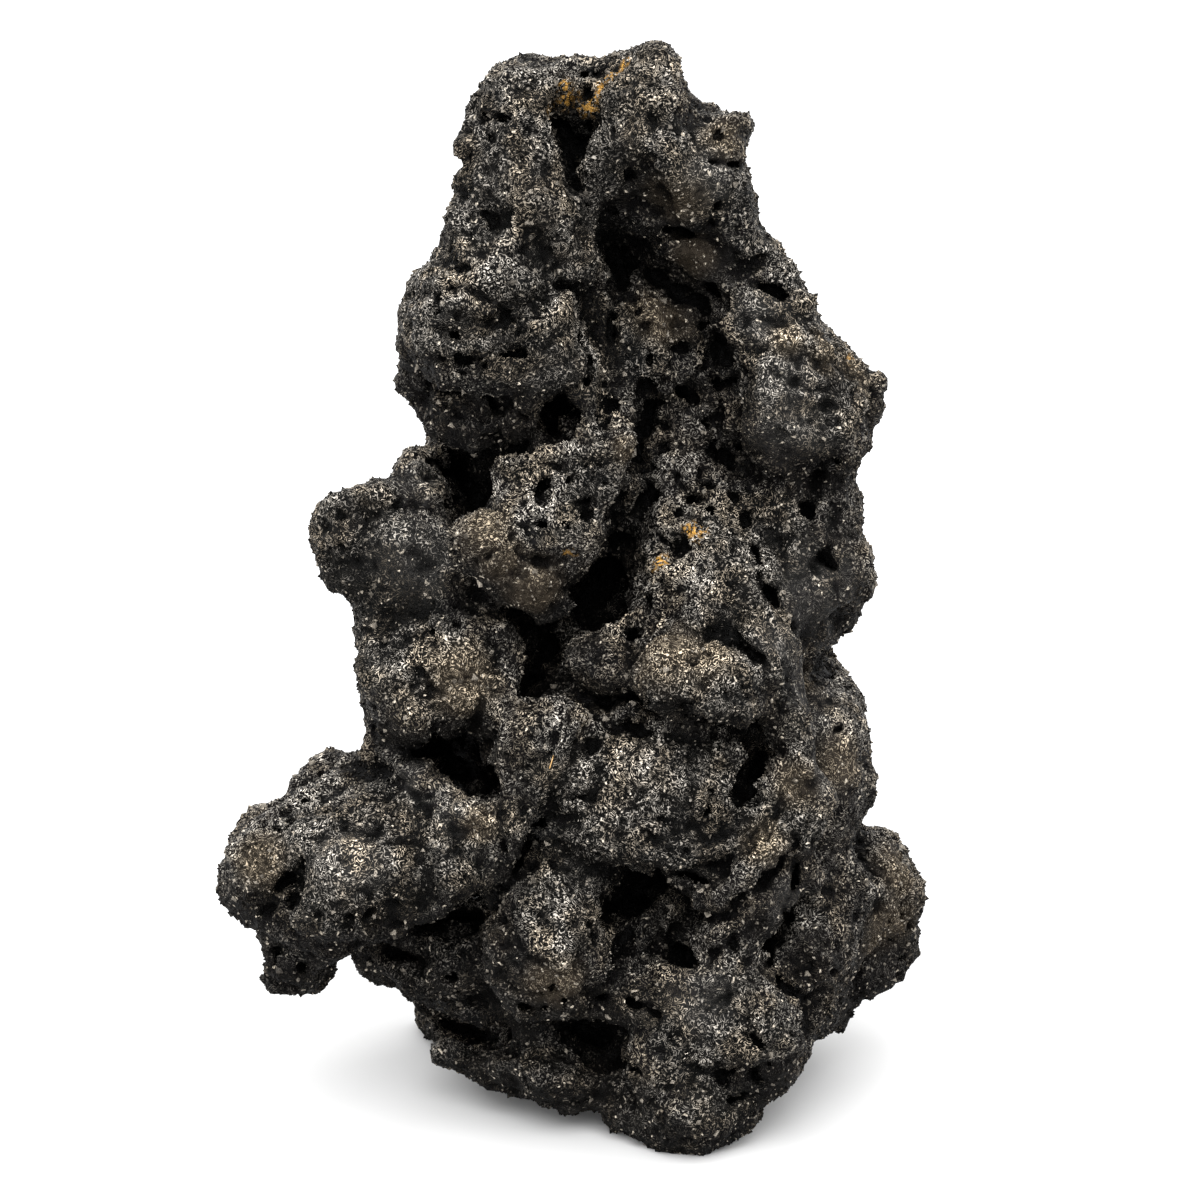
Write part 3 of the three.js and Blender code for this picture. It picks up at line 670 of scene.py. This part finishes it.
def surface_of(distance, low):
    """The surface where the distance is zero: one point in each cell it crosses, and four-sided faces."""
    inside = distance < 0
    shape = [size - 1 for size in distance.shape]
    corners = [(dx, dy, dz) for dx in (0, 1) for dy in (0, 1) for dz in (0, 1)]
    total = np.zeros(shape, np.int8)
    for dx, dy, dz in corners:
        total += inside[dx : dx + shape[0], dy : dy + shape[1], dz : dz + shape[2]]
    cells = np.argwhere((total > 0) & (total < 8))
    number = np.full(shape, -1, np.int32)
    number[tuple(cells.T)] = np.arange(len(cells))
    place = np.zeros((len(cells), 3), np.float32)
    crossings = np.zeros(len(cells), np.float32)
    for corner in corners:
        for axis in range(3):
            if corner[axis]:
                continue
            other = list(corner)
            other[axis] = 1
            here = distance[tuple((cells + corner).T)]
            there = distance[tuple((cells + other).T)]
            crossed = (here < 0) != (there < 0)
            spot = np.tile(np.array(corner, np.float32), (len(cells), 1))
            spot[:, axis] = here / np.where(crossed, here - there, 1)
            place[crossed] += spot[crossed]
            crossings[crossed] += 1
    points = np.array(low) + STEP * (cells + place / crossings[:, None])
    faces = []
    for axis in range(3):
        first = np.moveaxis(inside, axis, 0)
        edges = np.argwhere(first[:-1] != first[1:])
        edges = np.insert(edges[:, 1:], axis, edges[:, 0], axis=1)
        u, v = (axis + 1) % 3, (axis + 2) % 3
        step_u, step_v = np.eye(3, dtype=int)[u], np.eye(3, dtype=int)[v]
        ring = [edges - step_u - step_v, edges - step_v, edges, edges - step_u]
        quads = np.stack([number[tuple(cell.T)] for cell in ring], 1)
        outward = inside[tuple(edges.T)]
        quads[~outward] = quads[~outward][:, ::-1]
        faces.append(quads)
    return points, np.concatenate(faces)


def make_mesh(name, points, faces, smooth=True):
    """An object from arrays of points in mm and of faces that all have as many corners."""
    mesh = bpy.data.meshes.new(name)
    mesh.vertices.add(len(points))
    mesh.vertices.foreach_set("co", (np.asarray(points) * MM).astype(np.float32).ravel())
    mesh.loops.add(faces.size)
    mesh.loops.foreach_set("vertex_index", faces.astype(np.int32).ravel())
    mesh.polygons.add(len(faces))
    mesh.polygons.foreach_set("loop_start", np.arange(0, faces.size, faces.shape[1]))
    mesh.polygons.foreach_set("loop_total", np.full(len(faces), faces.shape[1]))
    mesh.polygons.foreach_set("use_smooth", np.full(len(faces), smooth))
    mesh.update(calc_edges=True)
    piece = bpy.data.objects.new(name, mesh)
    bpy.context.scene.collection.objects.link(piece)
    return piece


def largest_part(points, faces):
    """Drops the loose crumbs and closed bubbles that the pits cut off."""
    label = np.arange(len(points))
    while True:
        least = label[faces].min(1)
        before = label.copy()
        for corner in range(faces.shape[1]):
            np.minimum.at(label, faces[:, corner], least)
        label = label[label]
        if (label == before).all():
            break
    kept = label == np.bincount(label).argmax()
    renumbered = np.cumsum(kept) - 1
    return points[kept], renumbered[faces[kept[faces[:, 0]]]]


def thinned(piece, triangles):
    """Draws edges together until the piece has that many triangles, with the flat places thinned first."""
    modifier = piece.modifiers.new("thin", "DECIMATE")
    now = sum(len(face.vertices) - 2 for face in piece.data.polygons)
    modifier.ratio = min(1, triangles / now)
    modifier.use_collapse_triangulate = True
    evaluated = piece.evaluated_get(bpy.context.evaluated_depsgraph_get())
    thin_mesh = bpy.data.meshes.new_from_object(evaluated)
    piece.modifiers.clear()
    piece.data = thin_mesh


def mesh_arrays(mesh):
    points = np.zeros(len(mesh.vertices) * 3, np.float32)
    mesh.vertices.foreach_get("co", points)
    faces = np.zeros(len(mesh.polygons) * 3, np.int32)
    mesh.polygons.foreach_get("vertices", faces)
    return points.reshape(-1, 3) / MM, faces.reshape(-1, 3)


def give(mesh, name, values):
    attribute = mesh.attributes.new(name, "FLOAT", "POINT")
    attribute.data.foreach_set("value", values.astype(np.float32))


def sampled(values, low, points):
    """The grid's value at the sample nearest to each point."""
    index = np.rint((points - np.array(low)) / STEP).astype(int)
    index = np.clip(index, 0, np.array(values.shape) - 1)
    return values[tuple(index.T)]


def facing_up(around, low, points):
    """From -1 to 1, how far up the broad form faces at each point: towards where the stone thins out."""
    slopes = []
    for axis in range(3):
        step = np.zeros(3)
        step[axis] = 2 * STEP
        slopes.append(sampled(around, low, points - step) - sampled(around, low, points + step))
    slopes = np.stack(slopes, 1)
    return slopes[:, 2] / np.maximum(np.linalg.norm(slopes, axis=1), 1e-6)


def colour_facts(mesh, points, view, hollow, low, fleck):
    """What the material reads: how hollow each point is, how far up its broad form faces, how far it is in each
    patch of tint, painted sheen, painted shade and painted highlight, and each grain's own number.
    """
    for name, (around, gain) in hollow.items():
        give(mesh, name, np.clip((sampled(around, low, points) - 0.5) * gain, -1, 1))
    # how far up the broad form faces, for the painted top light on the glints
    give(mesh, "skyward", facing_up(hollow["hollow"][0], low, points))
    for name, places in TINTS.items():
        give(mesh, name, patches(points, view, places))
    give(mesh, "fleck", fleck)


def make_skin(tree, view):
    """The stone's skin, how hollow the stone is at each sample of its grid, and the grid's low corner."""
    lowest, highest = (np.array(corner) / MM for corner in cad_box)
    low = np.floor(lowest - MARGIN)
    count = tuple(np.ceil((highest + MARGIN - low) / STEP).astype(int) + 1)
    share = filled(tree, low, count)
    close, far = depth_from(share, FINE_BLUR), depth_from(share, WIDE_BLUR)
    deep = np.sign(close) * np.maximum(np.abs(far), SHALLOW)
    distance = np.where(np.abs(close) < SHALLOW, close, deep).astype(np.float32)
    near = np.argwhere((distance > BAND[0]) & (distance < BAND[1]))
    points = (low + STEP * near).astype(np.float32)
    distance[tuple(near.T)] = roughened(points, distance[tuple(near.T)], view)
    # nothing reaches below the ground
    heights = low[2] + STEP * np.arange(count[2])
    distance = np.maximum(distance, -heights.astype(np.float32))
    distance = without_corner_contacts(distance)
    solid = np.clip(0.5 - distance / STEP, 0, 1)
    hollow = {name: (blurred(solid, reach / STEP), gain) for name, (reach, gain) in HOLLOWNESS.items()}
    points, faces = largest_part(*surface_of(distance, low))
    skin = make_mesh("lava_rock_skin", points, faces)
    thinned(skin, SKIN_TRIANGLES)
    return skin, hollow, low


def make_crust(number, points, faces, view, hollow, low):
    """Many eight-sided grains, scattered over the skin and sunk into it."""
    rng = np.random.default_rng(CRUST_SEED + number)
    corners = points[faces]
    normals = np.cross(corners[:, 1] - corners[:, 0], corners[:, 2] - corners[:, 0])
    areas = np.linalg.norm(normals, axis=1)
    chosen = rng.choice(len(faces), GRAINS_PER_PIECE, p=areas / areas.sum())
    shares = rng.dirichlet((1, 1, 1), GRAINS_PER_PIECE)
    spots = (corners[chosen] * shares[:, :, None]).sum(1)
    out = normals[chosen] / np.maximum(areas[chosen], 1e-9)[:, None]
    smallest, largest = GRAIN_RADIUS
    size = smallest + (largest - smallest) * rng.random(GRAINS_PER_PIECE) ** MOSTLY_SMALL
    size *= 1 - FINE_GRAINED * patches(spots, view, SMOOTH)
    spots = spots - out * (SUNK * size)[:, None]
    turned = np.linalg.qr(rng.normal(size=(GRAINS_PER_PIECE, 3, 3)))[0]
    axes = turned * rng.uniform(*GRAIN_AXES, (GRAINS_PER_PIECE, 3, 1)) * size[:, None, None]
    tips = np.concatenate([axes, -axes], 1) * rng.uniform(*GRAIN_TIPS, (GRAINS_PER_PIECE, 6, 1))
    grains = spots[:, None] + tips
    grains[:, :, 2] = np.maximum(grains[:, :, 2], 0)
    upper = [(0, 1, 2), (1, 3, 2), (3, 4, 2), (4, 0, 2)]
    lower = [(1, 0, 5), (3, 1, 5), (4, 3, 5), (0, 4, 5)]
    pattern = np.array(upper + lower)
    right_handed = np.linalg.det(axes) > 0
    grain_faces = np.where(right_handed[:, None, None], pattern, pattern[:, ::-1])
    all_faces = (grain_faces + 6 * np.arange(GRAINS_PER_PIECE)[:, None, None]).reshape(-1, 3)
    crust = make_mesh(f"crust_{number + 1}", grains.reshape(-1, 3), all_faces, smooth=False)
    fleck = np.repeat(rng.random(GRAINS_PER_PIECE), 6)
    colour_facts(crust.data, grains.reshape(-1, 3), view, hollow, low, fleck)
    return crust


def make_straw(view):
    """A dry fibre that is caught in the crust by its two ends."""
    first, last = (np.array(view.surface(*end)) for end in STRAW)
    out = np.array(view.back)
    aside = np.cross(last - first, out)
    aside /= np.linalg.norm(aside)
    points = []
    for share in np.linspace(0, 1, STRAW_RINGS):
        middle = first + (last - first) * share + out * (STRAW_ARCH * math.sin(math.pi * share) - STRAW_SUNK)
        radius = STRAW_RADIUS * (1 - STRAW_TAPER * share)
        for turn in np.linspace(0, 2 * math.pi, STRAW_SIDES, endpoint=False):
            points.append(middle + radius * (aside * math.cos(turn) + out * math.sin(turn)))
    faces = []
    for ring in range(STRAW_RINGS - 1):
        for side in range(STRAW_SIDES):
            a = ring * STRAW_SIDES + side
            b = ring * STRAW_SIDES + (side + 1) % STRAW_SIDES
            faces.append((a, b, b + STRAW_SIDES, a + STRAW_SIDES))
    return make_mesh("straw", np.array(points), np.array(faces))


class Shading:
    """A new material and the few kinds of node that the stone and the straw are coloured with."""

    def __init__(self, name):
        self.material = bpy.data.materials.new(name)
        self.material.use_nodes = True
        self.nodes = self.material.node_tree.nodes
        self.shader = self.nodes["Principled BSDF"]

    def link(self, output, socket):
        self.material.node_tree.links.new(output, socket)

    def fact(self, name):
        """A number that colour_facts gave to each point of the mesh."""
        node = self.nodes.new("ShaderNodeAttribute")
        node.attribute_name = name
        return node.outputs["Fac"]

    def noise(self, scale, detail, offset=0.0):
        place = self.nodes.new("ShaderNodeTexCoord")
        shift = self.nodes.new("ShaderNodeMapping")
        shift.inputs["Location"].default_value = (offset, offset, offset)
        self.link(place.outputs["Object"], shift.inputs["Vector"])
        node = self.nodes.new("ShaderNodeTexNoise")
        node.inputs["Scale"].default_value = scale
        node.inputs["Detail"].default_value = detail
        self.link(shift.outputs["Vector"], node.inputs["Vector"])
        return node.outputs["Fac"]

    def upward(self):
        """From -1 to 1, how far up the fine surface faces."""
        normal = self.nodes.new("ShaderNodeNewGeometry").outputs["Normal"]
        split = self.nodes.new("ShaderNodeSeparateXYZ")
        self.link(normal, split.inputs["Vector"])
        return split.outputs["Z"]

    def math_of(self, kind, a, b):
        """A sum on two outputs, or on an output and a plain number."""
        node = self.nodes.new("ShaderNodeMath")
        node.operation = kind
        self.link(a, node.inputs[0])
        if isinstance(b, float):
            node.inputs[1].default_value = b
        else:
            self.link(b, node.inputs[1])
        return node.outputs["Value"]

    def product(self, first, *others):
        for other in others:
            first = self.math_of("MULTIPLY", first, other)
        return first

    def ramp(self, value, low, high, first=0.0, last=1.0):
        """From first to last, as the value goes from low to high, and no further."""
        node = self.nodes.new("ShaderNodeMapRange")
        node.inputs["From Min"].default_value = low
        node.inputs["From Max"].default_value = high
        node.inputs["To Min"].default_value = first
        node.inputs["To Max"].default_value = last
        self.link(value, node.inputs["Value"])
        return node.outputs["Result"]

    def mix(self, share, a, b):
        """Between two colours, each an output or three plain numbers."""
        node = self.nodes.new("ShaderNodeMix")
        node.data_type = "RGBA"
        self.link(share, node.inputs["Factor"])
        for value, socket in ((a, node.inputs["A"]), (b, node.inputs["B"])):
            if isinstance(value, tuple):
                socket.default_value = (*value, 1)
            else:
                self.link(value, socket)
        return node.outputs["Result"]


def dry_straw():
    """Pale, dull plant fibre, with darker bands along it."""
    look = Shading("dry_straw")
    bands = look.noise(1500, 2)
    look.link(look.mix(bands, DARK_STRAW, PALE_STRAW), look.shader.inputs["Base Color"])
    look.shader.inputs["Roughness"].default_value = 0.6
    return look.material


def curl_lines(look):
    """Fine lines: the contours of a noise."""
    return look.ramp(look.math_of("PINGPONG", look.noise(600, 1.2, 2.3), 0.05), 0.018, 0.042)


def painted_glints(look, lines):
    """The lines cut up into short curls, which are painted glints: brighter where forms face up and in the
    highlight patches, as painted top light and highlight, fainter in the black patches, as painted shade, and
    fainter on smooth stone.
    """
    cut = look.ramp(look.noise(1500, 1, 5.1), 0.38, 0.58)
    strength = look.ramp(look.noise(230, 2, 6.1), 0.34, 0.66, 0.25, 1.0)
    # painted top light: the glints are brighter where the broad form and the fine surface face up, and dimmer
    # where they face down
    broad = look.ramp(look.fact("skyward"), -0.55, 0.65, 0.18, 1.0)
    fine = look.ramp(look.upward(), -0.6, 0.5, 0.38, 1.0)
    smooth = look.ramp(look.fact("smooth"), 0.0, 1.0, 1.0, 0.85)
    patchy = look.noise(90, 2, 3.7)
    # painted shade: the glints are fainter in the black patches
    shaded = look.ramp(look.math_of("ADD", look.fact("black"), patchy), 0.75, 1.20, 1.0, 0.38)
    # painted highlight: the glints are brighter in the highlight patches
    highlighted = look.ramp(look.math_of("ADD", look.fact("painted_highlight"), patchy), 0.60, 1.30, 0.82, 1.50)
    return look.product(lines, cut, strength, broad, fine, smooth, shaded, highlighted)


def stone_colour(look, curls):
    """Near-black stone, tinted in places, with curls and dots that are painted glints, flecks and lichen on it,
    a painted sheen on its smooth patches, and painted shade that blackens its creases, hollows and valleys.
    """
    colour = look.mix(look.ramp(look.noise(120, 2), 0.40, 0.62), BARE, BARE_BROWN)
    # painted sheen: the smooth patches are paler grey
    colour = look.mix(look.product(look.fact("smooth"), 0.6), colour, SMOOTH_SHEEN_GREY)
    colour = look.mix(look.product(look.fact("tan"), 0.6), colour, TAN_STONE)

    # painted glints: the colour of the pale curls, warmer in places and tan in the tan patches
    glint_colour = look.mix(look.ramp(look.noise(140, 1, 4.4), 0.46, 0.62), PALE_GLINT, WARM_GLINT)
    glint_colour = look.mix(look.fact("tan"), glint_colour, TAN_GLINT)
    # painted shade: the glints fade in the creases
    unshaded = look.ramp(look.fact("crease"), 0.35, -0.35)
    colour = look.mix(look.product(curls, unshaded), colour, glint_colour)

    # painted glints: small pale dots away from the creases
    dots = look.ramp(look.noise(1300, 0, 8.2), 0.72, 0.79)
    groups = look.ramp(look.noise(450, 1, 9.4), 0.46, 0.62)
    open_places = look.ramp(look.fact("crease"), 0.5, -0.2)
    colour = look.mix(look.product(dots, groups, open_places), colour, GLINT_DOT)
    colour = look.mix(look.ramp(look.fact("fleck"), 0.90, 1.0), colour, FLECK)
    crumbs = look.ramp(look.noise(1100, 2, 5.3), 0.47, 0.56)
    colour = look.mix(look.product(look.fact("lichen"), crumbs), colour, LICHEN_YELLOW)

    # painted shade: creases, hollows and valleys are blackened
    colour = look.mix(look.ramp(look.fact("crease"), -0.05, 0.55, 0.0, 0.85), colour, CREASE_SHADE)
    colour = look.mix(look.ramp(look.fact("hollow"), 0.0, 0.8, 0.0, 0.92), colour, HOLE_SHADE)
    return look.mix(look.ramp(look.fact("valley"), 0.0, 0.7, 0.0, 0.8), colour, HOLE_SHADE)


def basalt():
    """Black volcanic glass and basalt, with a crust of fine pale curls that are painted glints, standing in for
    the light that the glassy crust catches.
    """
    look = Shading("basalt")
    lines = curl_lines(look)
    curls = painted_glints(look, lines)
    look.link(stone_colour(look, curls), look.shader.inputs["Base Color"])
    look.link(look.ramp(curls, 0.0, 1.0, 0.6, 0.3), look.shader.inputs["Roughness"])
    look.shader.inputs["IOR"].default_value = 1.13
    bump = look.nodes.new("ShaderNodeBump")
    bump.inputs["Strength"].default_value = 1
    bump.inputs["Distance"].default_value = 0.0006
    look.link(lines, bump.inputs["Height"])
    look.link(bump.outputs["Normal"], look.shader.inputs["Normal"])
    return look.material


def add_camera(view):
    """A long lens that looks down a little, from where the photograph was taken."""
    camera = bpy.data.objects.new("camera", bpy.data.cameras.new("camera"))
    bpy.context.scene.collection.objects.link(camera)
    camera.data.lens = LENS
    camera.data.sensor_width = SENSOR
    camera.data.clip_end = FARTHEST_SEEN * MM
    camera.location = view.eye * MM
    camera.rotation_mode = "QUATERNION"
    camera.rotation_quaternion = (-view.back).to_track_quat("-Z", "Y")
    bpy.context.scene.camera = camera


def add_floor():
    """One wide pale floor, which fills the whole view."""
    corners = np.array([(-1, -1, 0), (1, -1, 0), (1, 1, 0), (-1, 1, 0)]) * FLOOR_REACH
    floor = make_mesh("floor", corners, np.array([(0, 1, 2, 3)]))
    material = bpy.data.materials.new("floor")
    material.use_nodes = True
    shader = material.node_tree.nodes["Principled BSDF"]
    shader.inputs["Base Color"].default_value = (FLOOR_SHADE, FLOOR_SHADE, FLOOR_SHADE, 1)
    shader.inputs["Roughness"].default_value = 0.9
    floor.data.materials.append(material)


def add_lights():
    """A soft studio: even light from all round, and a wide lamp above and in front."""
    world = bpy.data.worlds.new("studio")
    bpy.context.scene.world = world
    world.use_nodes = True
    background = world.node_tree.nodes["Background"]
    background.inputs["Color"].default_value = (1, 1, 1, 1)
    background.inputs["Strength"].default_value = ROOM_LIGHT
    lamp = bpy.data.lights.new("key", "SUN")
    lamp.energy = KEY_LIGHT
    lamp.angle = KEY_WIDTH
    key = bpy.data.objects.new("key", lamp)
    bpy.context.scene.collection.objects.link(key)
    key.rotation_mode = "QUATERNION"
    key.rotation_quaternion = Vector(KEY_TOWARDS).to_track_quat("-Z", "Y")


lava_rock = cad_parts["lava_rock"]
tree = stone_tree(lava_rock)
view = View(tree)
add_camera(view)
add_floor()
add_lights()

stone = basalt()
skin, hollow, low = make_skin(tree, view)
skin_points, skin_faces = mesh_arrays(skin.data)
colour_facts(skin.data, skin_points, view, hollow, low, np.zeros(len(skin_points)))
pieces = [skin]
for number in range(CRUST_PIECES):
    pieces.append(make_crust(number, skin_points, skin_faces, view, hollow, low))
for piece in pieces:
    piece.data.materials.append(stone)

straw = make_straw(View(stone_tree(skin)))
straw.data.materials.append(dry_straw())
pieces.append(straw)

for piece in pieces:
    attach(piece, "root")
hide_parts("lava_rock")

bpy.context.scene.view_settings.view_transform = "Standard"
